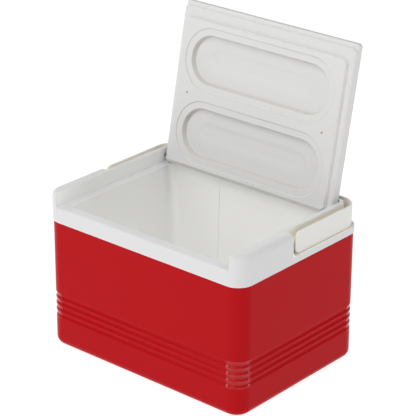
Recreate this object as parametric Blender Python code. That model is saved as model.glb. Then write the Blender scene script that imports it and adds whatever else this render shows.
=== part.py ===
"""Small personal hard cooler: insulated tub, hinged lid and swing-up bail, modelled in metres.

Frame: origin at the centre of the footprint on the ground, +X to the right, -Y to the front, +Z up.
The lid stands open on its rear stop and the bail lies back along the rear of the collar.
"""
import math

import bmesh
import bpy
from mathutils import Matrix, Vector

MM = 0.001

# ---- driving dimensions (mm) ----
BODY_WIDTH = 340.0
BODY_DEPTH = 250.0
BODY_TOP = 186.4
BODY_CORNER_R = 22.6
BASE_FILLET_R = 11.2
SHELL_WALL = 3.0
GROOVE_COUNT = 4
GROOVE_PITCH = 9.4
GROOVE_BOTTOM = 43.1
GROOVE_DEPTH = 1.8

GAP = 0.3
SKIN = 2.5

COLLAR_PROUD = 1.0
COLLAR_BOTTOM = BODY_TOP + GAP
LEDGE_Z = 209.0
LEDGE_EDGE_R = 1.8
COLLAR_TOP = 229.0
COLLAR_SIDE_R = 9.5
COLLAR_FRONT_R = 2.0
BAY_HALF_WIDTH = 151.0
BAY_REAR = 108.3
BAY_CORNER_R = 8.0
OPENING_HALF_WIDTH = 141.5
OPENING_FRONT = -109.4
OPENING_REAR = 98.0
OPENING_CORNER_R = 9.0
LINER_FLOOR = 28.0
LINER_FLOOR_R = 9.0
LINER_DRAFT = 0.033
BACK_PANEL_HALF_WIDTH = 53.0
BACK_PANEL_DEPTH = 1.0

BAIL_HALF_WIDTH = 168.1
BAIL_FRONT = -12.3
BAIL_REAR = 123.0
BAIL_CORNER_R = 23.0
BAIL_THICK = 2.5
BAIL_BOTTOM = 196.4
BAIL_TOP = 227.7
BAIL_END_R = 10.0
BAIL_PIVOT = (-0.8, 212.05)
BAIL_BOSS_R = 5.0
BAIL_BOSS_FIT = 0.4
BAIL_HOLE_DEPTH = 4.2

RECESS_HALF_WIDTH = 157.5
RECESS_FRONT = -20.4
RECESS_REAR = 112.3
RECESS_CORNER_R = 13.0
RECESS_FRONT_R = 10.0
LIP_TOP = 195.9

LID_HINGE = (95.1, 216.4)
LID_OPEN_DEG = 101.42
LID_PIN_R = 3.5
LID_PIN_END = 154.6
LID_HOLE_END = 155.0
LID_HALF_WIDTH = 147.0
LID_THICK = 17.2
LID_EDGE_R = 4.5
LID_FRONT_CORNER_R = 7.0
LID_HINGE_S = 8.0
LID_HINGE_T = 7.1
LID_REAR_R = 7.0
LID_LIP_END = 233.4
LID_GROOVE_S = 226.5
PLUG_HALF_WIDTH = 139.0
PLUG_START = 6.8
PLUG_END = 211.5
PLUG_HEIGHT = 6.0
PLUG_TOP = 2.2
PLUG_DRAFT = 0.8
PLUG_CORNER_R = 8.0
PLUG_SKIN_T = -2.0
POCKET_CENTRES = (57.9, 160.3)
POCKET_HALF_LENGTH = 128.7
POCKET_R = 44.4
POCKET_STEP = 10.0
POCKET_SHELF_DEPTH = 1.5
POCKET_FLOOR_T = 3.0
POCKET_DRAFT = 2.0
PILL_R = 12.5
PILL_HALF_LENGTH = 92.0
PILL_DEPTH = 0.8
VENT_X = 117.6
VENT_S = 109.1
VENT_R = 1.8

CORNER_SEGMENTS = 8


# ---- small modelling kit ----
def clear_scene():
    for obj in list(bpy.data.objects):
        bpy.data.objects.remove(obj, do_unlink=True)


def plastic(name, color, roughness):
    mat = bpy.data.materials.new(name)
    mat.use_nodes = True
    shader = mat.node_tree.nodes["Principled BSDF"]
    shader.inputs["Base Color"].default_value = (*color, 1.0)
    shader.inputs["Roughness"].default_value = roughness
    shader.inputs["Metallic"].default_value = 0.0
    return mat


def object_from_bmesh(name, bm):
    bmesh.ops.recalc_face_normals(bm, faces=bm.faces)
    mesh = bpy.data.meshes.new(name)
    bm.to_mesh(mesh)
    bm.free()
    obj = bpy.data.objects.new(name, mesh)
    bpy.context.scene.collection.objects.link(obj)
    return obj


def rounded_rect(x0, x1, y0, y1, radius, segments=CORNER_SEGMENTS):
    """Points of a rectangle with rounded corners, anticlockwise, in mm."""
    corners = ((x1 - radius, y0 + radius, -90), (x1 - radius, y1 - radius, 0),
               (x0 + radius, y1 - radius, 90), (x0 + radius, y0 + radius, 180))
    points = []
    for cx, cy, start in corners:
        for i in range(segments + 1):
            a = math.radians(start + 90.0 * i / segments)
            points.append((cx + radius * math.cos(a), cy + radius * math.sin(a)))
    return points


def stadium(half_length, radius, centre_y, segments=16):
    """Points of a slot outline along X, anticlockwise, in mm."""
    points = []
    for side, start in ((1, -90), (-1, 90)):
        for i in range(segments + 1):
            a = math.radians(start + 180.0 * i / segments)
            x = side * (half_length - radius) + radius * math.cos(a)
            points.append((x, centre_y + radius * math.sin(a)))
    return points


def loft(name, rings):
    """Closed solid through rings of (points, z), all with the same number of points."""
    bm = bmesh.new()
    loops = [[bm.verts.new((x * MM, y * MM, z * MM)) for x, y in points] for points, z in rings]
    for lower, upper in zip(loops, loops[1:]):
        for i in range(len(lower)):
            j = (i + 1) % len(lower)
            bm.faces.new((lower[i], lower[j], upper[j], upper[i]))
    bm.faces.new(list(reversed(loops[0])))
    bm.faces.new(loops[-1])
    return object_from_bmesh(name, bm)


def prism(name, points, z0, z1):
    return loft(name, [(points, z0), (points, z1)])


def box(name, x0, x1, y0, y1, z0, z1):
    return prism(name, [(x0, y0), (x1, y0), (x1, y1), (x0, y1)], z0, z1)


def side_profile(name, points, x0, x1):
    """Solid from an outline of (y, z) points swept along X."""
    bm = bmesh.new()
    loops = [[bm.verts.new((x * MM, y * MM, z * MM)) for y, z in points] for x in (x0, x1)]
    for i in range(len(points)):
        j = (i + 1) % len(points)
        bm.faces.new((loops[0][i], loops[0][j], loops[1][j], loops[1][i]))
    bm.faces.new(list(reversed(loops[0])))
    bm.faces.new(loops[1])
    return object_from_bmesh(name, bm)


def rod_x(name, radius, y, z, x0, x1, segments=24):
    points = []
    for i in range(segments):
        a = 2.0 * math.pi * i / segments
        points.append((y + radius * math.cos(a), z + radius * math.sin(a)))
    return side_profile(name, points, x0, x1)


def combine(target, tool, operation):
    """Apply one exact Boolean of tool on target and remove the tool."""
    modifier = target.modifiers.new(operation.lower(), "BOOLEAN")
    modifier.operation = operation
    modifier.solver = "EXACT"
    modifier.object = tool
    evaluated = target.evaluated_get(bpy.context.evaluated_depsgraph_get())
    result = bpy.data.meshes.new_from_object(evaluated)
    target.modifiers.clear()
    target.data = result
    bpy.data.objects.remove(tool, do_unlink=True)


def cut(target, tool):
    combine(target, tool, "DIFFERENCE")


def join(target, tool):
    combine(target, tool, "UNION")


def finish(obj, material, smooth_angle=35.0):
    obj.data.materials.clear()
    obj.data.materials.append(material)
    obj.data.shade_smooth()
    obj.data.set_sharp_from_angle(angle=math.radians(smooth_angle))


# ---- tub ----
def body_ring(inset, z):
    half_x = BODY_WIDTH / 2 - inset
    half_y = BODY_DEPTH / 2 - inset
    return rounded_rect(-half_x, half_x, -half_y, half_y, BODY_CORNER_R - min(inset, 12.0)), z


def groove_inset(z):
    phase = (z - GROOVE_BOTTOM) / GROOVE_PITCH
    return 0.5 * GROOVE_DEPTH * (1.0 - math.cos(2.0 * math.pi * phase))


def make_body_shell(material):
    rings = []
    fillet_steps = 5
    for i in range(fillet_steps + 1):
        a = math.radians(90.0 * i / fillet_steps)
        rings.append(body_ring(BASE_FILLET_R * (1.0 - math.sin(a)), BASE_FILLET_R * (1.0 - math.cos(a))))
    steps = 8 * GROOVE_COUNT
    for i in range(steps + 1):
        z = GROOVE_BOTTOM + GROOVE_PITCH * GROOVE_COUNT * i / steps
        rings.append(body_ring(groove_inset(z), z))
    rings.append(body_ring(0.0, BODY_TOP))
    shell = loft("body_shell", rings)
    inner = [body_ring(SHELL_WALL + 8.0, SHELL_WALL), body_ring(SHELL_WALL + 2.3, SHELL_WALL + 2.3),
             body_ring(SHELL_WALL, SHELL_WALL + 8.0), body_ring(SHELL_WALL, BODY_TOP + 5.0)]
    cut(shell, loft("shell_cavity", inner))
    finish(shell, material)


def opening_ring(z, grow=0.0):
    """Outline of the inside of the liner at height z, drafted inwards towards the floor."""
    inset = (LEDGE_Z - z) * LINER_DRAFT - grow
    half_x = OPENING_HALF_WIDTH - inset
    return rounded_rect(-half_x, half_x, OPENING_FRONT + inset, OPENING_REAR - inset,
                        OPENING_CORNER_R + grow), z


def tub_rings(grow, top_rings):
    """Rings of the tub from its floor upwards, grown outwards on every side."""
    floor = LINER_FLOOR - grow
    radius = LINER_FLOOR_R
    rings = []
    for angle in (0.0, 30.0, 60.0, 90.0):
        a = math.radians(angle)
        inset = 0.95 * radius * (1.0 - math.sin(a))
        rings.append(opening_ring(floor + radius * (1.0 - math.cos(a)), grow - inset))
    return rings + top_rings


def make_body_foam(material):
    z0 = SHELL_WALL + GAP
    z1 = LIP_TOP - SKIN - GAP - 0.5
    rings = [body_ring(SHELL_WALL + GAP + 8.0, z0), body_ring(SHELL_WALL + GAP + 2.8, z0 + 2.8),
             body_ring(SHELL_WALL + GAP + 0.3, z0 + 8.0), body_ring(SHELL_WALL + GAP + 0.3, z1)]
    foam = loft("body_foam", rings)
    wall = SKIN + GAP
    cut(foam, loft("foam_hole", tub_rings(wall, [opening_ring(BODY_TOP + 20.0, wall)])))
    finish(foam, material)


def back_panel_cutter():
    """Shallow full-height recess in the middle of the rear wall of the tub."""
    low = LINER_FLOOR + LINER_FLOOR_R
    rear_low = OPENING_REAR - (LEDGE_Z - low) * LINER_DRAFT
    profile = [(rear_low - 5.0, low), (rear_low + BACK_PANEL_DEPTH, low),
               (OPENING_REAR + BACK_PANEL_DEPTH, LEDGE_Z), (OPENING_REAR + BACK_PANEL_DEPTH, LEDGE_Z + 5.0),
               (rear_low - 5.0, LEDGE_Z + 5.0)]
    return side_profile("back_panel", profile, -BACK_PANEL_HALF_WIDTH, BACK_PANEL_HALF_WIDTH)


def edge_inset(z, radius):
    """How far a rounded top edge has come in at height z."""
    rise = max(0.0, z - (COLLAR_TOP - radius))
    return radius - math.sqrt(max(0.0, radius * radius - rise * rise))


def collar_ring(inset_x, inset_y, z):
    half_x = BODY_WIDTH / 2 + COLLAR_PROUD - inset_x
    half_y = BODY_DEPTH / 2 + COLLAR_PROUD - inset_y
    corner = BODY_CORNER_R + COLLAR_PROUD - min(inset_x, inset_y)
    return rounded_rect(-half_x, half_x, -half_y, half_y, corner), z


def make_collar_block():
    rings = [collar_ring(0.0, 0.0, COLLAR_BOTTOM)]
    for drop in (9.5, 7.0, 4.8, 3.2, 2.0, 1.2, 0.6, 0.25, 0.0):
        z = COLLAR_TOP - drop
        rings.append(collar_ring(edge_inset(z, COLLAR_SIDE_R), edge_inset(z, COLLAR_FRONT_R), z))
    return loft("body_liner", rings)


def lid_bay_cutter():
    """Space between the side walls, open at the front, with the ledge as its floor."""
    front = -BODY_DEPTH / 2 - COLLAR_PROUD
    floor = LEDGE_Z - LEDGE_EDGE_R
    profile = [(front - 15.0, floor), (front, floor)]
    for angle in (30.0, 60.0, 90.0):
        a = math.radians(angle)
        profile.append((front + LEDGE_EDGE_R * (1.0 - math.cos(a)), floor + LEDGE_EDGE_R * math.sin(a)))
    rear = BAY_REAR + 20.0
    profile += [(rear, LEDGE_Z), (rear, COLLAR_TOP + 10.0), (front - 15.0, COLLAR_TOP + 10.0)]
    bay = side_profile("bay", profile, -BODY_WIDTH, BODY_WIDTH)
    plan = rounded_rect(-BAY_HALF_WIDTH, BAY_HALF_WIDTH, front - 40.0, BAY_REAR, BAY_CORNER_R)
    combine(bay, prism("bay_plan", plan, LEDGE_Z - 20.0, COLLAR_TOP + 30.0), "INTERSECT")
    return bay


def bail_recess_cutter():
    """Space round the sides and the rear of the collar in which the bail lies."""
    side_view = rounded_rect(RECESS_FRONT, BODY_DEPTH, LIP_TOP, COLLAR_TOP + 30.0, RECESS_FRONT_R)
    recess = side_profile("recess", side_view, -BODY_WIDTH, BODY_WIDTH)
    core = rounded_rect(-RECESS_HALF_WIDTH, RECESS_HALF_WIDTH, RECESS_FRONT - 60.0, RECESS_REAR,
                        RECESS_CORNER_R)
    cut(recess, prism("core", core, LIP_TOP - 5.0, COLLAR_TOP + 20.0))
    return recess


def underside_channel():
    """Hollow of the collar, seen from below: it leaves a moulding of even thickness round the tub."""
    channel = loft("low", [collar_ring(SKIN, SKIN, COLLAR_BOTTOM - 5.0),
                           collar_ring(SKIN, SKIN, LIP_TOP - SKIN)])
    roof = LEDGE_Z - SKIN
    rear = rounded_rect(-RECESS_HALF_WIDTH + SKIN, RECESS_HALF_WIDTH - SKIN, -BODY_DEPTH / 2 + 1.6,
                        RECESS_REAR - SKIN, RECESS_CORNER_R - SKIN)
    join(channel, prism("high", rear, LIP_TOP - 8.0, roof))
    front = loft("front", [collar_ring(SKIN, SKIN, LIP_TOP - 7.0), collar_ring(SKIN, SKIN, roof + 0.1)])
    cut(front, box("front_end", -BODY_WIDTH, BODY_WIDTH, RECESS_FRONT - SKIN, BODY_DEPTH, 150.0, 250.0))
    join(channel, front)
    inner = SKIN - 0.01
    cut(channel, loft("tub_core", [opening_ring(COLLAR_BOTTOM - 10.0, inner),
                                   opening_ring(LEDGE_Z + 5.0, inner)]))
    return channel


def horn_hollow(side):
    """Hollow inside one of the thick side walls ahead of the bail."""
    hollow = loft("horn", [collar_ring(SKIN, SKIN, LEDGE_Z - SKIN - 2.0),
                           collar_ring(SKIN, SKIN, COLLAR_TOP - 12.0),
                           collar_ring(5.5, SKIN, COLLAR_TOP - 5.5),
                           collar_ring(8.5, SKIN, COLLAR_TOP - SKIN)])
    inner = side * (BAY_HALF_WIDTH + SKIN)
    keep = box("horn_keep", min(inner, side * BODY_WIDTH), max(inner, side * BODY_WIDTH),
               -BODY_DEPTH / 2 + 9.0, RECESS_FRONT - SKIN, 150.0, 260.0)
    combine(hollow, keep, "INTERSECT")
    return hollow


def make_liner(material):
    liner = make_collar_block()
    cut(liner, lid_bay_cutter())
    cut(liner, bail_recess_cutter())
    cut(liner, underside_channel())
    for side in (1, -1):
        cut(liner, horn_hollow(side))
    join(liner, loft("tub", tub_rings(SKIN, [opening_ring(LEDGE_Z - 1.0, SKIN)])))
    inside = tub_rings(0.0, [opening_ring(LEDGE_Z - 1.6), opening_ring(LEDGE_Z - 0.4, 0.5),
                             opening_ring(LEDGE_Z + 0.2, 1.4), opening_ring(LEDGE_Z + 5.0, 1.4)])
    cut(liner, loft("inside", inside))
    cut(liner, back_panel_cutter())
    for side in (1, -1):
        cut(liner, rod_x("hinge_hole", LID_PIN_R + GAP, *LID_HINGE, side * (BAY_HALF_WIDTH - 2.0),
                         side * LID_HOLE_END))
        cut(liner, rod_x("bail_hole", BAIL_BOSS_R + BAIL_BOSS_FIT, *BAIL_PIVOT,
                         side * (RECESS_HALF_WIDTH - BAIL_HOLE_DEPTH), side * (RECESS_HALF_WIDTH + 2.0)))
    finish(liner, material)


# ---- bail ----
def make_bail(material):
    outer = rounded_rect(-BAIL_HALF_WIDTH, BAIL_HALF_WIDTH, BAIL_FRONT - 60.0, BAIL_REAR, BAIL_CORNER_R)
    half_in = BAIL_HALF_WIDTH - BAIL_THICK
    inner = rounded_rect(-half_in, half_in, BAIL_FRONT - 90.0, BAIL_REAR - BAIL_THICK,
                         BAIL_CORNER_R - BAIL_THICK)
    bail = prism("bail_handle", outer, BAIL_BOTTOM, BAIL_TOP)
    cut(bail, prism("bail_inside", inner, BAIL_BOTTOM - 5.0, BAIL_TOP + 5.0))
    side_view = rounded_rect(BAIL_FRONT, BAIL_REAR + 40.0, BAIL_BOTTOM, BAIL_TOP, BAIL_END_R)
    combine(bail, side_profile("bail_side", side_view, -BODY_WIDTH, BODY_WIDTH), "INTERSECT")
    for side in (1, -1):
        tip = RECESS_HALF_WIDTH - BAIL_HOLE_DEPTH + BAIL_BOSS_FIT
        join(bail, rod_x("bail_boss", BAIL_BOSS_R, *BAIL_PIVOT, side * tip, side * (BAIL_HALF_WIDTH - 1.0)))
    set_origin(bail, Vector((0.0, BAIL_PIVOT[0] * MM, BAIL_PIVOT[1] * MM)))
    finish(bail, material)


def set_origin(obj, point):
    obj.data.transform(Matrix.Translation(-point))
    obj.location = point


# ---- lid, drawn closed in (s, t): s runs from the rear edge to the front, t up from the underside ----
def lid_y(s):
    return LID_HINGE[0] + LID_HINGE_S - s


def lid_z(t):
    return LID_HINGE[1] - LID_HINGE_T + t


def lid_block(name, half_x, s0, s1, t0, t1, radius):
    points = rounded_rect(-half_x, half_x, lid_y(s1), lid_y(s0), radius)
    return prism(name, points, lid_z(t0), lid_z(t1))


def lid_stadium(name, half_length, radius, s, t0, t1, shrink=0.0):
    lower = stadium(half_length, radius, lid_y(s))
    upper = stadium(half_length - shrink, radius - shrink, lid_y(s))
    return loft(name, [(lower, lid_z(t0)), (upper, lid_z(t1))])


def place_lid_piece(obj, hinge_empty):
    """Give a piece drawn closed the hinge as its parent."""
    obj.data.transform(Matrix.Translation((0.0, -LID_HINGE[0] * MM, -LID_HINGE[1] * MM)))
    obj.parent = hinge_empty


def cover_outline():
    """Side view of the lid: rounded about the hinge at the rear, bead and small groove at the front."""
    points = []
    for i in range(7):
        a = math.radians(90.0 * i / 6)
        points.append((LID_HINGE_S - LID_REAR_R * math.sin(a), LID_HINGE_T - LID_HINGE_T * math.cos(a)))
    rise = LID_THICK - LID_HINGE_T
    for i in range(1, 7):
        a = math.radians(90.0 * i / 6)
        points.append((LID_HINGE_S - LID_REAR_R * math.cos(a), LID_HINGE_T + rise * math.sin(a)))
    end = LID_LIP_END
    points += [(end - 5.0, LID_THICK), (end - 2.2, LID_THICK - 0.9), (end - 0.6, LID_THICK - 2.8),
               (end, LID_THICK - 5.5), (end, 3.6), (end - 0.5, 1.9), (end - 1.7, 0.6), (end - 3.4, 0.0),
               (LID_GROOVE_S + 1.1, 0.0), (LID_GROOVE_S, 1.0), (LID_GROOVE_S - 1.1, 0.0)]
    return [(lid_y(s), lid_z(t)) for s, t in points]


def front_view_prism():
    outline = rounded_rect(-LID_HALF_WIDTH, LID_HALF_WIDTH, lid_z(0.0), lid_z(LID_THICK), LID_EDGE_R, 5)
    bm = bmesh.new()
    ends = (lid_y(-20.0), lid_y(LID_LIP_END + 20.0))
    loops = [[bm.verts.new((x * MM, y * MM, z * MM)) for x, z in outline] for y in ends]
    for i in range(len(outline)):
        j = (i + 1) % len(outline)
        bm.faces.new((loops[0][i], loops[0][j], loops[1][j], loops[1][i]))
    bm.faces.new(loops[0])
    bm.faces.new(loops[1])
    return object_from_bmesh("front_view", bm)


def make_lid_cover(material, hinge_empty):
    cover = side_profile("lid_cover", cover_outline(), -LID_HALF_WIDTH - 5.0, LID_HALF_WIDTH + 5.0)
    combine(cover, front_view_prism(), "INTERSECT")
    plan = lid_block("plan", LID_HALF_WIDTH + 0.02, -60.0, LID_LIP_END + 0.02, -20.0, 60.0,
                     LID_FRONT_CORNER_R)
    combine(cover, plan, "INTERSECT")
    roof = LID_THICK - SKIN
    cut(cover, lid_block("cover_inside", LID_HALF_WIDTH - SKIN, 6.0, LID_GROOVE_S + 4.0, SKIN, roof, 4.0))
    cut(cover, lid_block("cover_window", PLUG_HALF_WIDTH + GAP, PLUG_START - GAP, PLUG_END + GAP, -5.0,
                         SKIN + 2.0, PLUG_CORNER_R + GAP))
    for side in (1, -1):
        join(cover, rod_x("lid_pin", LID_PIN_R, *LID_HINGE, side * (LID_HALF_WIDTH - 1.0),
                          side * LID_PIN_END))
    place_lid_piece(cover, hinge_empty)
    finish(cover, material)


def make_lid_panel(material, hinge_empty):
    half = PLUG_HALF_WIDTH
    base = rounded_rect(-half, half, lid_y(PLUG_END), lid_y(PLUG_START), PLUG_CORNER_R)
    face = rounded_rect(-half + PLUG_DRAFT, half - PLUG_DRAFT, lid_y(PLUG_END) + PLUG_DRAFT,
                        lid_y(PLUG_START) - PLUG_DRAFT, PLUG_CORNER_R)
    panel = loft("lid_inner_panel", [(face, lid_z(-PLUG_HEIGHT)), (base, lid_z(-0.2)),
                                     (base, lid_z(PLUG_TOP))])
    shelf_t = -PLUG_HEIGHT + POCKET_SHELF_DEPTH
    deep_half = POCKET_HALF_LENGTH - POCKET_STEP
    deep_r = POCKET_R - POCKET_STEP
    hollow = lid_block("hollow", half - SKIN - PLUG_DRAFT, PLUG_START + SKIN + PLUG_DRAFT,
                       PLUG_END - SKIN - PLUG_DRAFT, PLUG_SKIN_T, PLUG_TOP + 5.0, PLUG_CORNER_R - SKIN)
    for s in POCKET_CENTRES:
        cut(hollow, lid_stadium("pan_keep", deep_half + SKIN, deep_r + SKIN, s, PLUG_SKIN_T - 2.0,
                                PLUG_TOP + 8.0))
    cut(panel, hollow)
    for s in POCKET_CENTRES:
        join(panel, lid_stadium("pan", deep_half + SKIN - 0.02, deep_r + SKIN - 0.02, s, PLUG_SKIN_T - 1.0,
                                POCKET_FLOOR_T + SKIN))
    for s in POCKET_CENTRES:
        cut(panel, lid_stadium("shelf", POCKET_HALF_LENGTH, POCKET_R, s, -PLUG_HEIGHT - 3.0, shelf_t))
        cut(panel, lid_stadium("pocket", deep_half, deep_r, s, shelf_t - 1.0, POCKET_FLOOR_T, POCKET_DRAFT))
        cut(panel, lid_stadium("pill", PILL_HALF_LENGTH, PILL_R, s, POCKET_FLOOR_T - 1.0,
                               POCKET_FLOOR_T + PILL_DEPTH, 1.5))
    for side in (1, -1):
        cut(panel, vent_hole("vent", side * VENT_X))
    place_lid_piece(panel, hinge_empty)
    finish(panel, material)


def vent_hole(name, x, segments=16):
    points = []
    for i in range(segments):
        a = 2.0 * math.pi * i / segments
        points.append((x + VENT_R * math.cos(a), lid_y(VENT_S) + VENT_R * math.sin(a)))
    return prism(name, points, lid_z(-PLUG_HEIGHT - 2.0), lid_z(PLUG_TOP + 2.0))


def make_lid_foam(material, hinge_empty):
    half = LID_HALF_WIDTH - SKIN - GAP
    foam = lid_block("lid_foam", half, 6.0 + GAP, LID_GROOVE_S - 3.0, SKIN + GAP,
                     LID_THICK - SKIN - GAP, 4.0)
    edge = SKIN + PLUG_DRAFT + GAP
    join(foam, lid_block("foam_low", PLUG_HALF_WIDTH - edge, PLUG_START + edge, PLUG_END - edge,
                         PLUG_SKIN_T + GAP, SKIN + 1.0, PLUG_CORNER_R - SKIN - GAP))
    room = -POCKET_STEP + SKIN + GAP
    for s in POCKET_CENTRES:
        cut(foam, lid_stadium("pan_room", POCKET_HALF_LENGTH + room, POCKET_R + room, s, PLUG_SKIN_T - 3.0,
                              POCKET_FLOOR_T + SKIN + GAP))
    place_lid_piece(foam, hinge_empty)
    finish(foam, material)


def make_lid(white, foam_material):
    hinge = bpy.data.objects.new("lid_hinge_axis", None)
    bpy.context.scene.collection.objects.link(hinge)
    make_lid_cover(white, hinge)
    make_lid_panel(white, hinge)
    make_lid_foam(foam_material, hinge)
    hinge.location = (0.0, LID_HINGE[0] * MM, LID_HINGE[1] * MM)
    hinge.rotation_euler = (-math.radians(LID_OPEN_DEG), 0.0, 0.0)


def main():
    clear_scene()
    red = plastic("red_plastic", (0.47, 0.015, 0.022), 0.3)
    white = plastic("white_plastic", (0.78, 0.78, 0.77), 0.35)
    cream = plastic("cream_plastic", (0.74, 0.72, 0.69), 0.4)
    foam = plastic("tan_foam", (0.6, 0.45, 0.28), 0.9)
    make_body_shell(red)
    make_body_foam(foam)
    make_liner(white)
    make_bail(cream)
    make_lid(white, foam)


main()
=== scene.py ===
import math

import bmesh
import bpy
from mathutils import Matrix, Vector


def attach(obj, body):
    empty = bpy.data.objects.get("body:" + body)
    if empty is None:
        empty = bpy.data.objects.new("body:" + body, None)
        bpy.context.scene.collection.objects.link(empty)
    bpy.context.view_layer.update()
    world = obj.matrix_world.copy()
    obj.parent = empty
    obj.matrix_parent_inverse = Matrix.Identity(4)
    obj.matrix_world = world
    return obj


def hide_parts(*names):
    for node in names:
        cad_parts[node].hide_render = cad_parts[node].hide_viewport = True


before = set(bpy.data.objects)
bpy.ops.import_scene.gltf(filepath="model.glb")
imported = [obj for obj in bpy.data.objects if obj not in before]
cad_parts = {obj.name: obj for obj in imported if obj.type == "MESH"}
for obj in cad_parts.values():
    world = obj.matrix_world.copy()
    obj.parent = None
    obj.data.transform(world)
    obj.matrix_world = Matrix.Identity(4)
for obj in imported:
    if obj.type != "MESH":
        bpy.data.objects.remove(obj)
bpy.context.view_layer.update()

# Lengths are in millimetres, and skin, soften and open_lid_piece turn them into metres.
MM = 0.001
TUB_HALF_X = 170.0
TUB_HALF_Y = 125.0
TUB_CORNER_R = 22.6
GROOVES_BOTTOM = 43.1
GROOVE_PITCH = 9.4
COLLAR_HALF_X = 171.0
COLLAR_HALF_Y = 126.0
COLLAR_CORNER_R = 23.6
COLLAR_BOTTOM = 186.7
COLLAR_TOP = 229.0
LEDGE = 209.0
HINGE_Y = 95.1
HINGE_Z = 216.4
PIVOT_Y = -0.8
PIVOT_Z = 212.05
RECESS_FLOOR = 195.9
BAIL_BOTTOM = 196.4
BAIL_TOP = 227.7
LID_REAR_Y = 103.1
LID_UNDERSIDE = 209.3
LID_FRONT_S = 233.4
LID_THICKNESS = 17.2
LID_OPEN = math.radians(101.42)
VENT_X = 117.6
VENT_S = 109.1


# ---------------------------------------------------------------- mesh kit
def new_object(name, bm):
    bmesh.ops.recalc_face_normals(bm, faces=bm.faces)
    mesh = bpy.data.meshes.new(name)
    bm.to_mesh(mesh)
    bm.free()
    obj = bpy.data.objects.new(name, mesh)
    bpy.context.scene.collection.objects.link(obj)
    return obj


def rounded_rect(x0, x1, y0, y1, radius, segments=20):
    corners = ((x1 - radius, y0 + radius, -90), (x1 - radius, y1 - radius, 0),
               (x0 + radius, y1 - radius, 90), (x0 + radius, y0 + radius, 180))
    points = []
    for cx, cy, start in corners:
        for i in range(segments + 1):
            a = math.radians(start + 90.0 * i / segments)
            points.append((cx + radius * math.cos(a), cy + radius * math.sin(a)))
    return points


def stadium(half_length, radius, centre_y, segments=32):
    points = []
    for side, start in ((1, -90), (-1, 90)):
        for i in range(segments + 1):
            a = math.radians(start + 180.0 * i / segments)
            points.append((side * (half_length - radius) + radius * math.cos(a),
                           centre_y + radius * math.sin(a)))
    return points


def skin(bm, rings):
    """Faces between successive rings, each a list of (x, y, z) in mm; returns the rings' vertices."""
    loops = [[bm.verts.new((x * MM, y * MM, z * MM)) for x, y, z in ring] for ring in rings]
    for lower, upper in zip(loops, loops[1:]):
        for i in range(len(lower)):
            j = (i + 1) % len(lower)
            bm.faces.new((lower[i], lower[j], upper[j], upper[i]))
    return loops


def closed_solid(name, rings):
    bm = bmesh.new()
    loops = skin(bm, rings)
    bm.faces.new(list(reversed(loops[0])))
    bm.faces.new(loops[-1])
    return new_object(name, bm)


def ring_solid(name, rings):
    """Closed solid through rings of (points, z), where points are (x, y)."""
    return closed_solid(name, [[(x, y, z) for x, y in points] for points, z in rings])


def prism(name, points, z0, z1):
    return ring_solid(name, [(points, z0), (points, z1)])


def along_x(name, stations):
    """Closed solid through stations of (x, outline), where an outline is (y, z) points."""
    return closed_solid(name, [[(x, y, z) for y, z in outline] for x, outline in stations])


def circle(u, v, radius, segments):
    angles = [2 * math.pi * i / segments for i in range(segments)]
    return [(u + radius * math.cos(a), v + radius * math.sin(a)) for a in angles]


def rod_x(name, radius, y, z, x0, x1):
    points = circle(y, z, radius, 40)
    return along_x(name, [(x0, points), (x1, points)])


def combine(target, tool, operation):
    modifier = target.modifiers.new("boolean", "BOOLEAN")
    modifier.operation = operation
    modifier.solver = "EXACT"
    modifier.object = tool
    depsgraph = bpy.context.evaluated_depsgraph_get()
    result = bpy.data.meshes.new_from_object(target.evaluated_get(depsgraph))
    target.modifiers.clear()
    target.data = result
    bpy.data.objects.remove(tool, do_unlink=True)


def cut(target, tool):
    combine(target, tool, "DIFFERENCE")


def join(target, tool):
    combine(target, tool, "UNION")


def soften(obj, width_mm, angle=32.0):
    """Merges flat faces and rounds every edge sharper than angle, as a mould does."""
    bm = bmesh.new()
    bm.from_mesh(obj.data)
    bmesh.ops.remove_doubles(bm, verts=bm.verts, dist=2e-6)
    bmesh.ops.dissolve_limit(bm, angle_limit=math.radians(0.4), verts=bm.verts, edges=bm.edges)
    bm.to_mesh(obj.data)
    bm.free()
    if width_mm:
        bevel = obj.modifiers.new("edge", "BEVEL")
        bevel.width = width_mm * MM
        bevel.segments = 3
        bevel.limit_method = "ANGLE"
        bevel.angle_limit = math.radians(angle)
        bevel.use_clamp_overlap = True
        bevel.miter_outer = "MITER_ARC"
    finish_shading(obj)


def finish_shading(obj):
    obj.data.shade_smooth()
    weighted = obj.modifiers.new("normals", "WEIGHTED_NORMAL")
    weighted.weight = 80
    weighted.keep_sharp = True


def dress(obj, material, body, slot, *nodes):
    obj.data.materials.clear()
    obj.data.materials.append(material)
    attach(obj, body)
    if nodes:
        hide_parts(*nodes)


# ---------------------------------------------------------------- materials
# Zones of box_mask, in metres in object space: (axis, centre, half width, mirrored about zero).
# A negative half width keeps what lies outside that range instead.
# Painted light: the first zone, the tub's inside less the ledge, is painted brighter for the light bouncing
# in it.
TUB_PAINTED_LIGHT = (("X", 0.0, 0.1512, True), ("Y", -0.0080, 0.1165, False), ("Z", 0.1000, 0.1350, False),
              ("Z", 0.2090, -0.0004, False))
RIB_CORNERS = (("X", 0.1600, 0.0126, True), ("Y", 0.1150, 0.0126, True), ("Z", 0.0619, 0.0195, False))
# Painted shade: the next two zones hold the warm shade colour in the handle recess and on the bail.
RECESS_RANGE = (("Y", 0.0600, 0.0806, False), ("Z", 0.2120, 0.0162, False))
BAIL_RANGE = (("Z", 0.2120, 0.0150, False),)
# Plans of plan_mask: x and y of the centre of each rounded corner, radius, and whether inside is meant.
# Painted shade: these plans pick the hidden faces of the recess and the bail's inner face for the warm shade.
OUTSIDE_RECESS_CORE = (0.1445, 0.0993, 0.0124, False)
INSIDE_BAIL = (0.1451, 0.1000, 0.0215, True)
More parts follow.
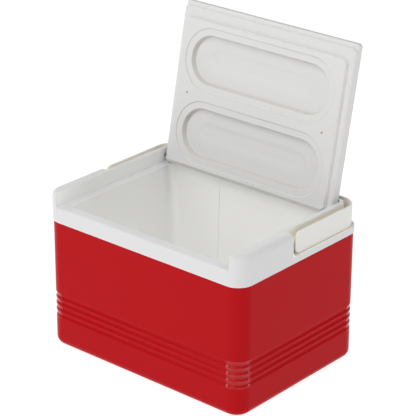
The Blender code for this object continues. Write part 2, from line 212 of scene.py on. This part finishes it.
# Warm colour painted on faces in shade: the painted shade of the handle recess and the inside of the bail.
WARM_SHADE = (0.955, 0.915, 0.815)


def new_material(name):
    mat = bpy.data.materials.new(name)
    mat.use_nodes = True
    tree = mat.node_tree
    return mat, tree, tree.nodes["Principled BSDF"], tree.nodes.new("ShaderNodeTexCoord").outputs["Object"]


def noise(tree, coords, scale, detail):
    texture = tree.nodes.new("ShaderNodeTexNoise")
    texture.inputs["Scale"].default_value = scale
    texture.inputs["Detail"].default_value = detail
    tree.links.new(coords, texture.inputs["Vector"])
    return texture


def mix_colors(tree, factor, first, second):
    """Socket of first blended into second by factor; each of the two is a colour or a socket."""
    mix = tree.nodes.new("ShaderNodeMix")
    mix.data_type = "RGBA"
    tree.links.new(factor, mix.inputs["Factor"])
    for name, value in (("A", first), ("B", second)):
        if isinstance(value, tuple):
            mix.inputs[name].default_value = (*value, 1.0)
        else:
            tree.links.new(value, mix.inputs[name])
    return mix.outputs["Result"]


def add_bump(tree, shader, height, strength, distance):
    bump = tree.nodes.new("ShaderNodeBump")
    bump.inputs["Strength"].default_value = strength
    bump.inputs["Distance"].default_value = distance
    tree.links.new(height, bump.inputs["Height"])
    tree.links.new(bump.outputs["Normal"], shader.inputs["Normal"])


def map_range(tree, value, to_min, to_max, from_min=0.0, from_max=1.0):
    remap = tree.nodes.new("ShaderNodeMapRange")
    for name, number in (("From Min", from_min), ("From Max", from_max),
                         ("To Min", to_min), ("To Max", to_max)):
        remap.inputs[name].default_value = number
    tree.links.new(value, remap.inputs["Value"])
    return remap


def plan_mask(tree, coords, corner_x, corner_y, radius, inside):
    """1 inside a plan whose rounded corners are centred on the given corner, or 1 outside it."""
    vector = coords
    for operation, value in (("ABSOLUTE", None), ("SUBTRACT", (corner_x, corner_y, 10.0)),
                             ("MAXIMUM", (0.0, 0.0, 0.0))):
        step = tree.nodes.new("ShaderNodeVectorMath")
        step.operation = operation
        tree.links.new(vector, step.inputs[0])
        if value:
            step.inputs[1].default_value = value
        vector = step.outputs["Vector"]
    distance = tree.nodes.new("ShaderNodeVectorMath")
    distance.operation = "LENGTH"
    tree.links.new(vector, distance.inputs[0])
    test = tree.nodes.new("ShaderNodeMath")
    test.operation = "LESS_THAN" if inside else "GREATER_THAN"
    test.inputs[1].default_value = radius
    tree.links.new(distance.outputs["Value"], test.inputs[0])
    return test.outputs["Value"]


def box_mask(tree, coords, ranges, factor=None):
    """1 inside every range, 0 elsewhere. A factor that is passed in is multiplied with it."""
    split = tree.nodes.new("ShaderNodeSeparateXYZ")
    tree.links.new(coords, split.inputs["Vector"])
    for axis, centre, half, mirrored in ranges:
        source = split.outputs[axis]
        if mirrored:
            fold = tree.nodes.new("ShaderNodeMath")
            fold.operation = "ABSOLUTE"
            tree.links.new(source, fold.inputs[0])
            source = fold.outputs["Value"]
        near = tree.nodes.new("ShaderNodeMath")
        near.operation = "COMPARE"
        near.inputs[1].default_value = centre
        near.inputs[2].default_value = abs(half)
        tree.links.new(source, near.inputs[0])
        if half < 0.0:
            flip = tree.nodes.new("ShaderNodeMath")
            flip.operation = "SUBTRACT"
            flip.inputs[0].default_value = 1.0
            tree.links.new(near.outputs["Value"], flip.inputs[1])
            near = flip
        if factor is None:
            factor = near.outputs["Value"]
            continue
        both = tree.nodes.new("ShaderNodeMath")
        both.operation = "MULTIPLY"
        tree.links.new(factor, both.inputs[0])
        tree.links.new(near.outputs["Value"], both.inputs[1])
        factor = both.outputs["Value"]
    return factor


def moulded_plastic(name, color, roughness, grain, tint, specular, grain_mm=0.9, inside=None, rubbed=None,
                    painted_warm_shade=None, shade_plan=None, shade_range=()):
    """Injection-moulded plastic: slight flow marbling, fine mould grain, uneven gloss.

    inside is a brighter colour painted in the tub, painted light for the light bouncing around in it; aged a
    warm colour painted on faces in shade, painted shade; and rubbed the specular level of the ribs at the
    corners, polished by handling.
    """
    mat, tree, shader, coords = new_material(name)
    flow = noise(tree, coords, 9.0, 4.0)
    flow.inputs["Roughness"].default_value = 0.55
    base = mix_colors(tree, flow.outputs["Fac"], tuple(c * (1.0 - tint) for c in color),
                      tuple(min(1.0, c * (1.0 + tint)) for c in color))
    # Painted light: the inside of the tub is painted brighter.
    if inside:
        base = mix_colors(tree, box_mask(tree, coords, TUB_PAINTED_LIGHT), base, inside)
    # Painted shade: faces in shade get the warm shade colour.
    if painted_warm_shade:
        unlit = box_mask(tree, coords, shade_range, plan_mask(tree, coords, *shade_plan))
        base = mix_colors(tree, unlit, base, painted_warm_shade)
    tree.links.new(base, shader.inputs["Base Color"])

    shader.inputs["Specular IOR Level"].default_value = specular
    if rubbed:
        shine = map_range(tree, box_mask(tree, coords, RIB_CORNERS), specular, rubbed)
        tree.links.new(shine.outputs["Result"], shader.inputs["Specular IOR Level"])
    speck = noise(tree, coords, 60.0, 2.0)
    gloss = map_range(tree, speck.outputs["Fac"], roughness - 0.05, roughness + 0.05, 0.3, 0.7)
    tree.links.new(gloss.outputs["Result"], shader.inputs["Roughness"])
    mould = noise(tree, coords, 1000.0 / grain_mm, 2.0)
    add_bump(tree, shader, mould.outputs["Fac"], grain, 0.0001)
    return mat


def cut_foam(name, dark, light):
    mat, tree, shader, coords = new_material(name)
    shader.inputs["Roughness"].default_value = 0.95
    shader.inputs["Specular IOR Level"].default_value = 0.1
    cells = tree.nodes.new("ShaderNodeTexVoronoi")
    cells.inputs["Scale"].default_value = 900.0
    tree.links.new(coords, cells.inputs["Vector"])
    base = mix_colors(tree, cells.outputs["Distance"], dark, light)
    tree.links.new(base, shader.inputs["Base Color"])
    add_bump(tree, shader, cells.outputs["Distance"], 0.6, 0.0004)
    return mat


RED = moulded_plastic("red_moulding", (0.475, 0.0062, 0.0098), 0.22, grain=0.04, tint=0.02,
                      specular=0.045, grain_mm=3.5, rubbed=0.36)
# The liner: painted brighter inside the tub as painted light, and warm in the handle recess as painted shade.
WHITE = moulded_plastic("white_moulding", (0.755, 0.755, 0.762), 0.42, grain=0.05, tint=0.006,
                        specular=0.25, inside=(0.965, 0.962, 0.945),
                        painted_warm_shade=WARM_SHADE, shade_plan=OUTSIDE_RECESS_CORE, shade_range=RECESS_RANGE)
LID_WHITE = moulded_plastic("lid_moulding", (0.745, 0.742, 0.733), 0.45, grain=0.03, tint=0.008,
                            specular=0.25)
# The bail, with warm painted shade on its inner face.
CREAM = moulded_plastic("bail_moulding", (0.85, 0.84, 0.815), 0.45, grain=0.03, tint=0.008,
                        specular=0.25, painted_warm_shade=WARM_SHADE, shade_plan=INSIDE_BAIL, shade_range=BAIL_RANGE)
# Painted shade: a darker, warmer white for the steep walls of the lid's pockets, standing in for their shade.
LID_WALL_SHADE = moulded_plastic("lid_wall_shade", (0.67, 0.658, 0.625), 0.5, grain=0.03, tint=0.02,
                             specular=0.2)
FOAM = cut_foam("insulation", (0.50, 0.37, 0.20), (0.72, 0.58, 0.38))


# ---------------------------------------------------------------- red tub
def body_ring(inset, z):
    return rounded_rect(-TUB_HALF_X + inset, TUB_HALF_X - inset, -TUB_HALF_Y + inset, TUB_HALF_Y - inset,
                        TUB_CORNER_R - min(inset, 12.0), 28), z


def groove(z):
    """Depth of the four grooves at height z: one wave every 9.4, 1.8 deep."""
    return 0.9 * (1.0 - math.cos(2.0 * math.pi * (z - GROOVES_BOTTOM) / GROOVE_PITCH))


def make_tub():
    rings = [body_ring(13.0, 0.0)]
    for i in range(13):
        a = math.radians(90.0 * i / 12)
        rings.append(body_ring(11.2 * (1.0 - math.sin(a)), 11.2 * (1.0 - math.cos(a))))
    rings += [body_ring(0.0, 30.0), body_ring(0.0, 42.6)]
    for i in range(81):
        z = GROOVES_BOTTOM + 4 * GROOVE_PITCH * i / 80
        rings.append(body_ring(groove(z), z))
    rings += [body_ring(0.0, 81.2), body_ring(0.0, 120.0), body_ring(0.0, 185.9), body_ring(0.15, 186.25),
              body_ring(0.5, 186.4), body_ring(2.6, 186.4), body_ring(3.0, 186.0), body_ring(3.0, 11.0),
              body_ring(5.3, 5.3), body_ring(11.0, 3.0)]
    tub = ring_solid("tub_shell", rings)
    finish_shading(tub)
    dress(tub, RED, "base", "shell_red", "body_shell")


# ---------------------------------------------------------------- white liner and collar
def opening_ring(z, grow=0.0):
    """Outline of the inner tub, which narrows downwards; grow widens it."""
    inset = (LEDGE - z) * 0.033 - grow
    return rounded_rect(-141.5 + inset, 141.5 - inset, -109.4 + inset, 98.0 - inset, 9.0 + grow), z


def tub_rings(grow, top_rings):
    """The inner tub's rounded bottom edge, then the rings above it."""
    rings = []
    for i in range(10):
        a = math.radians(10.0 * i)
        rings.append(opening_ring(28.0 - grow + 9.0 * (1.0 - math.cos(a)), grow - 8.55 * (1.0 - math.sin(a))))
    return rings + top_rings


def edge_inset(z, radius):
    """How far a rounded top edge has drawn in at height z."""
    rise = max(0.0, z - (COLLAR_TOP - radius))
    return radius - math.sqrt(max(0.0, radius * radius - rise * rise))


def collar_ring(inset_x, inset_y, z):
    radius = COLLAR_CORNER_R - min(inset_x, inset_y)
    return rounded_rect(-COLLAR_HALF_X + inset_x, COLLAR_HALF_X - inset_x,
                        -COLLAR_HALF_Y + inset_y, COLLAR_HALF_Y - inset_y, radius, 24), z


def make_liner():
    rings = [collar_ring(0.5, 0.5, COLLAR_BOTTOM), collar_ring(0.1, 0.1, COLLAR_BOTTOM + 0.25),
             collar_ring(0.0, 0.0, COLLAR_BOTTOM + 0.7)]
    for i in range(19):
        z = 219.5 + 9.5 * math.sin(math.radians(90.0 * i / 18))
        rings.append(collar_ring(edge_inset(z, 9.5), edge_inset(z, 2.4), z))
    liner = ring_solid("liner", rings)
    front = -COLLAR_HALF_Y
    profile = [(front - 15.0, LEDGE - 2.0), (front, LEDGE - 2.0)]
    for i in range(1, 7):
        a = math.radians(15.0 * i)
        profile.append((front + 2.0 * (1.0 - math.cos(a)), LEDGE - 2.0 + 2.0 * math.sin(a)))
    profile += [(140.0, LEDGE), (140.0, 240.0), (front - 15.0, 240.0)]
    bay = along_x("bay", [(-200.0, profile), (200.0, profile)])
    combine(bay, prism("plan", rounded_rect(-151.0, 151.0, -180.0, 108.3, 8.0), 150.0, 260.0), "INTERSECT")
    cut(liner, bay)
    side_view = rounded_rect(-20.4, 200.0, RECESS_FLOOR, 260.0, 10.0)
    recess = along_x("recess", [(-200.0, side_view), (200.0, side_view)])
    core = [(rounded_rect(-157.5, 157.5, -90.0, 112.3, 13.0), 180.0)]
    for i in range(7):
        a = math.radians(15.0 * i)
        inset = 1.8 * (1.0 - math.cos(a))
        core.append((rounded_rect(-157.5 + inset, 157.5 - inset, -90.0, 112.3 - inset, 13.0 - inset),
                     227.2 + 1.8 * math.sin(a)))
    core.append((rounded_rect(-155.7, 155.7, -90.0, 110.5, 11.2), 270.0))
    cut(recess, ring_solid("core", core))
    cut(liner, recess)
    join(liner, ring_solid("tub", tub_rings(2.5, [opening_ring(208.0, 2.5)])))
    lip = [opening_ring(LEDGE - 2.0)]
    for i in range(1, 7):
        a = math.radians(15.0 * i)
        lip.append(opening_ring(LEDGE - 2.0 + 2.0 * math.sin(a), 2.0 * (1.0 - math.cos(a))))
    cut(liner, ring_solid("inside", tub_rings(0.0, lip + [opening_ring(LEDGE + 4.0, 2.0)])))
    low_y = 98.0 - (LEDGE - 37.0) * 0.033
    panel = [(low_y - 5.0, 37.0), (low_y + 1.0, 37.0), (99.0, LEDGE), (99.0, LEDGE + 3.0),
             (low_y - 5.0, LEDGE + 3.0)]
    cut(liner, along_x("back_panel", [(-53.0, panel), (53.0, panel)]))
    for side in (1, -1):
        cut(liner, rod_x("hinge_hole", 3.8, HINGE_Y, HINGE_Z, side * 149.0, side * 155.0))
        cut(liner, rod_x("bail_hole", 5.4, PIVOT_Y, PIVOT_Z, side * 153.3, side * 159.5))
    soften(liner, 1.2, angle=38.0)
    dress(liner, WHITE, "base", "liner_white", "body_liner")


# ---------------------------------------------------------------- bail
def make_bail():
    bail = prism("bail", rounded_rect(-168.1, 168.1, -90.0, 123.0, 23.0, 28), BAIL_BOTTOM, BAIL_TOP)
    cut(bail, prism("inner", rounded_rect(-165.6, 165.6, -120.0, 120.5, 20.5, 28), 190.0, 235.0))
    side_view = rounded_rect(-12.3, 180.0, BAIL_BOTTOM, BAIL_TOP, 10.0)
    combine(bail, along_x("side_view", [(-200.0, side_view), (200.0, side_view)]), "INTERSECT")
    for side in (1, -1):
        join(bail, rod_x("boss", 5.0, PIVOT_Y, PIVOT_Z, side * 153.7, side * 167.0))
    soften(bail, 0.85, angle=38.0)
    dress(bail, CREAM, "handle", "bail_cream", "bail_handle")


# ---------------------------------------------------------------- lid, drawn shut, then turned open
# s runs forward along the shut lid from its rear edge, t runs up through it from its underside.
def lid_y(s):
    return LID_REAR_Y - s


def lid_z(t):
    return LID_UNDERSIDE + t


def open_lid_piece(obj):
    axis = Vector((0.0, HINGE_Y, HINGE_Z)) * MM
    turn = Matrix.Translation(axis) @ Matrix.Rotation(-LID_OPEN, 4, "X") @ Matrix.Translation(-axis)
    obj.data.transform(turn)


def lid_outline(inset, plate_end, bead_t):
    """Side view of the lid, drawn in by inset all round; the inner plate stops short of the front bead."""
    points = []
    for i in range(13):
        a = math.radians(7.5 * i)
        points.append((8.0 - (7.0 - inset) * math.sin(a), 7.1 - (7.1 - inset) * math.cos(a)))
    for i in range(1, 13):
        a = math.radians(7.5 * i)
        points.append((8.0 - (7.0 - inset) * math.cos(a), 7.1 + (10.1 - inset) * math.sin(a)))
    end = LID_FRONT_S - inset
    top = LID_THICKNESS - inset
    bead = max(bead_t, 0.9 + inset)
    outer_r = 5.0 - 0.6 * inset
    bead_r = 2.6 - 0.4 * inset
    for i in range(9):
        a = math.radians(11.25 * i)
        points.append((end - outer_r * (1.0 - math.sin(a)), top - outer_r * (1.0 - math.cos(a))))
    for i in range(9):
        a = math.radians(11.25 * i)
        points.append((end - bead_r * (1.0 - math.cos(a)), bead + bead_r * (1.0 - math.sin(a))))
    points += [(plate_end + 1.2 - inset * 0.2, bead + 0.1), (plate_end + 0.5 - inset * 0.2, bead + 0.45),
               (plate_end + 0.1 - inset * 0.3, bead + 0.3), (plate_end - 0.2 - inset * 0.4, inset + 0.6),
               (plate_end - 0.6 - inset * 0.4, inset + 0.2), (plate_end - 1.4 - inset * 0.4, inset)]
    return [(lid_y(s), lid_z(t)) for s, t in points]


def make_lid_shell():
    stations = []
    side_edge = [142.5 + 4.5 * math.sin(math.radians(7.5 * i)) for i in range(13)]
    for x in [136.0, 138.0, 139.5, 141.0] + side_edge:
        inset = 4.5 - math.sqrt(max(0.0, 20.25 - max(0.0, x - 142.5) ** 2))
        corner = 6.0 - math.sqrt(max(0.0, 36.0 - max(0.0, x - 141.2) ** 2))
        bead_t = 2.0 + 5.4 * (1.0 - math.sqrt(max(0.0, 1.0 - (max(0.0, x - 136.0) / 11.2) ** 2)))
        stations.append((x, lid_outline(inset, 226.6 - corner, bead_t)))
    stations = [(-x, outline) for x, outline in reversed(stations)] + stations
    shell = along_x("lid_shell", stations)
    cavity = rounded_rect(-144.5, 144.5, lid_y(224.0), lid_y(6.0), 4.0)
    cut(shell, prism("inside", cavity, lid_z(2.5), lid_z(14.7)))
    window = rounded_rect(-138.0, 138.0, lid_y(210.5), lid_y(7.8), 8.0)
    cut(shell, prism("window", window, lid_z(-8.0), lid_z(5.0)))
    for side in (1, -1):
        join(shell, rod_x("pin", 3.5, HINGE_Y, HINGE_Z, side * 146.0, side * 154.6))
    soften(shell, 0.0)
    open_lid_piece(shell)
    dress(shell, LID_WHITE, "lid", "lid_white", "lid_cover")


def pocket_rings(s):
    """One long dished recess of the inner panel, from its rim to the trough in its floor."""
    y = lid_y(s)
    rim = [(-1.0, -6.0), (-0.7, -5.96), (-0.35, -5.8), (-0.1, -5.5), (0.15, -5.0), (0.45, -4.68),
           (0.9, -4.52), (1.4, -4.5)]
    wall = [(8.8, -4.5), (9.3, -4.44), (9.75, -4.2), (10.05, -3.7), (11.6, 2.0), (11.85, 2.5),
            (12.25, 2.8), (12.8, 2.96), (13.5, 3.0)]
    rings = [(stadium(128.7 - inset, 44.4 - inset, y), lid_z(t)) for inset, t in rim + wall]
    for i in range(13):
        u = i / 12.0
        depth = 1.3 * (3.0 * u * u - 2.0 * u * u * u)
        rings.append((stadium(94.5 - 9.0 * u, 16.3 - 11.0 * u, y - 1.3 - 2.0 * u), lid_z(3.0 + depth)))
    rings.append((stadium(80.7, 0.5, y - 3.3), lid_z(4.3)))
    return rings


def make_lid_panel():
    bm = bmesh.new()

    def capped(rings):
        """A blind wall through the rings, closed at its last one; returns the edges of the first."""
        loops = skin(bm, [[(x, y, z) for x, y in points] for points, z in rings])
        bm.faces.new(loops[-1])
        rim = loops[0]
        return [bm.edges.get((rim[i], rim[(i + 1) % len(rim)])) for i in range(len(rim))]

    def side_ring(inset, t):
        return rounded_rect(-139.0 + inset, 139.0 - inset, lid_y(211.5) + inset, lid_y(6.8) - inset,
                            8.0 - min(inset, 4.0)), lid_z(t)

    rims = []
    for s in (57.9, 160.3):
        rims += capped(pocket_rings(s))
    sides = [side_ring(2.4, -6.0), side_ring(1.9, -5.95), side_ring(1.4, -5.75), side_ring(0.95, -5.4),
             side_ring(0.65, -4.9), side_ring(0.5, -4.3), side_ring(0.15, -1.4), side_ring(0.0, -0.8),
             side_ring(-0.3, -0.3), side_ring(-0.7, 0.0), side_ring(-1.1, 0.3), side_ring(1.6, 0.6),
             side_ring(1.6, 7.5)]
    rims += capped(sides)
    for x in (VENT_X, -VENT_X):
        rims += capped([(circle(x, lid_y(VENT_S), radius, 32), lid_z(t))
                        for radius, t in ((2.2, -6.0), (1.9, -5.88), (1.75, -5.5), (1.75, 0.0))])
    bmesh.ops.triangle_fill(bm, use_beauty=True, use_dissolve=False, edges=rims, normal=(0.0, 0.0, -1.0))
    panel = new_object("lid_panel", bm)
    finish_shading(panel)
    # Painted shade: the steep walls of the pockets are picked here and take the darker second material below.
    steep = [abs(face.normal.z) < 0.8 and abs(face.center.x) < 0.13 and
             lid_y(206.0) * MM < face.center.y < lid_y(12.0) * MM for face in panel.data.polygons]
    open_lid_piece(panel)
    dress(panel, LID_WHITE, "lid", "lid_white", "lid_inner_panel")
    panel.data.materials.append(LID_WALL_SHADE)
    for face, is_steep in zip(panel.data.polygons, steep):
        face.material_index = 1 if is_steep else 0
    for name, x in (("vent_plug_right", VENT_X), ("vent_plug_left", -VENT_X)):
        plug = prism(name, circle(x, lid_y(VENT_S), 1.7, 24), lid_z(-5.4), lid_z(-3.0))
        soften(plug, 0.3)
        open_lid_piece(plug)
        dress(plug, FOAM, "lid", "foam_tan")


# ---------------------------------------------------------------- studio, in metres
VIEW_CENTRE = Vector((0.0, 0.0, 0.15))
LIGHT_DISTANCE = 2.6
LIGHT_HEIGHT = 1.4


def make_stage():
    bm = bmesh.new()
    bmesh.ops.create_grid(bm, x_segments=1, y_segments=1, size=14.0)
    floor = new_object("floor", bm)
    floor.location.z = -0.0005
    # a pale floor that glows a little less with distance, from 1.3 m to 4 m
    mat, tree, shader, coords = new_material("pale_floor")
    shader.inputs["Base Color"].default_value = (0.3, 0.3, 0.3, 1.0)
    shader.inputs["Emission Color"].default_value = (1.0, 1.0, 1.0, 1.0)
    reach = tree.nodes.new("ShaderNodeVectorMath")
    reach.operation = "LENGTH"
    tree.links.new(coords, reach.inputs[0])
    pool = map_range(tree, reach.outputs["Value"], 0.88, 0.80, 1.3, 4.0)
    pool.interpolation_type = "SMOOTHSTEP"
    tree.links.new(pool.outputs["Result"], shader.inputs["Emission Strength"])
    shader.inputs["Roughness"].default_value = 0.9
    shader.inputs["Specular IOR Level"].default_value = 0.0
    floor.data.materials.append(mat)


def area_light(name, azimuth, elevation, width, power):
    """A soft box aimed at the middle of the object. Azimuth 0 is in front, positive to the right."""
    light = bpy.data.lights.new(name, "AREA")
    light.shape = "RECTANGLE"
    light.size = width
    light.size_y = LIGHT_HEIGHT
    light.energy = power
    obj = bpy.data.objects.new(name, light)
    a = math.radians(azimuth)
    e = math.radians(elevation)
    direction = Vector((math.sin(a) * math.cos(e), -math.cos(a) * math.cos(e), math.sin(e)))
    obj.location = VIEW_CENTRE + direction * LIGHT_DISTANCE
    obj.rotation_euler = direction.to_track_quat("Z", "Y").to_euler()
    bpy.context.scene.collection.objects.link(obj)


def make_lights():
    scene = bpy.context.scene
    scene.view_settings.view_transform = "Standard"
    scene.view_settings.look = "None"
    world = bpy.data.worlds.new("studio")
    world.use_nodes = True
    background = world.node_tree.nodes["Background"]
    background.inputs["Color"].default_value = (1.0, 1.0, 1.0, 1.0)
    background.inputs["Strength"].default_value = 0.10
    scene.world = world
    area_light("front_overhead", 10.0, 58.0, 1.4, 25.0)
    area_light("front_fill", 10.0, 34.0, 1.4, 6.0)
    area_light("left", -100.0, 42.0, 1.4, 19.5)
    area_light("right", 100.0, 48.0, 1.4, 14.6)
    area_light("left_glint", -25.0, 20.0, 0.12, 12.0)
    area_light("right_glint", 123.0, 20.0, 0.12, 6.0)


def make_camera():
    """The main view, from the front and the right and a little above."""
    azimuth = math.radians(40.668)
    elevation = math.radians(24.772)
    roll = math.radians(0.245)
    back = Vector((math.sin(azimuth) * math.cos(elevation), -math.cos(azimuth) * math.cos(elevation),
                   math.sin(elevation)))
    side = Vector((math.cos(azimuth), math.sin(azimuth), 0.0))
    up = back.cross(side)
    right = side * math.cos(roll) + up * math.sin(roll)
    up = back.cross(right)
    camera = bpy.data.cameras.new("camera")
    camera.lens = 164.74
    camera.sensor_width = 36.0
    camera.shift_x = 0.01317
    camera.shift_y = 0.0979
    camera.clip_start = 0.05
    camera.clip_end = 50.0
    obj = bpy.data.objects.new("camera", camera)
    rotation = Matrix((right, up, back)).transposed().to_4x4()
    obj.matrix_world = Matrix.Translation(VIEW_CENTRE + back * 2.57084) @ rotation
    bpy.context.scene.collection.objects.link(obj)
    bpy.context.scene.camera = obj


make_tub()
make_liner()
make_bail()
make_lid_shell()
make_lid_panel()
for node in ("body_foam", "lid_foam"):
    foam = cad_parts[node]
    for slot in foam.material_slots:
        slot.material = FOAM
make_stage()
make_lights()
make_camera()
